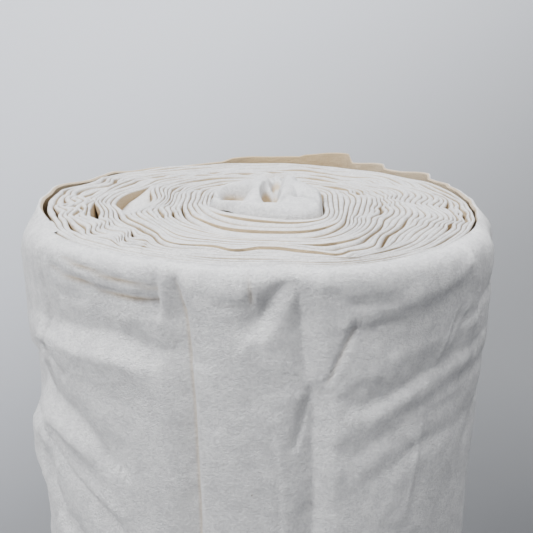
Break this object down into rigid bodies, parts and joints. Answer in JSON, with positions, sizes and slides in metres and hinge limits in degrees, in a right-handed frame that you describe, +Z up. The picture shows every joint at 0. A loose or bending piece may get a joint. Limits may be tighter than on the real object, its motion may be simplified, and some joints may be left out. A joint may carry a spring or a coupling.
{
  "type": "roll of cotton batting",
  "caption": "Roll of unbleached needled cotton batting, folded double and wound round a crumpled start, standing on end with its last turn loose, for quilting and padding.",
  "frame": {"origin": "middle of the roll's lower end, on the surface it stands on", "axes": "+Z up along the roll, -Y towards the side that the picture shows, +X to its right"},
  "size_m": [0.4102, 0.4192, 1.1467],
  "materials": {
    "batting": "matt needled cotton, unbleached, with a few seed specks"
  },
  "bodies": {
    "root": {"wound_roll": "batting", "loose_turn": "batting"}
  },
  "joints": []
}
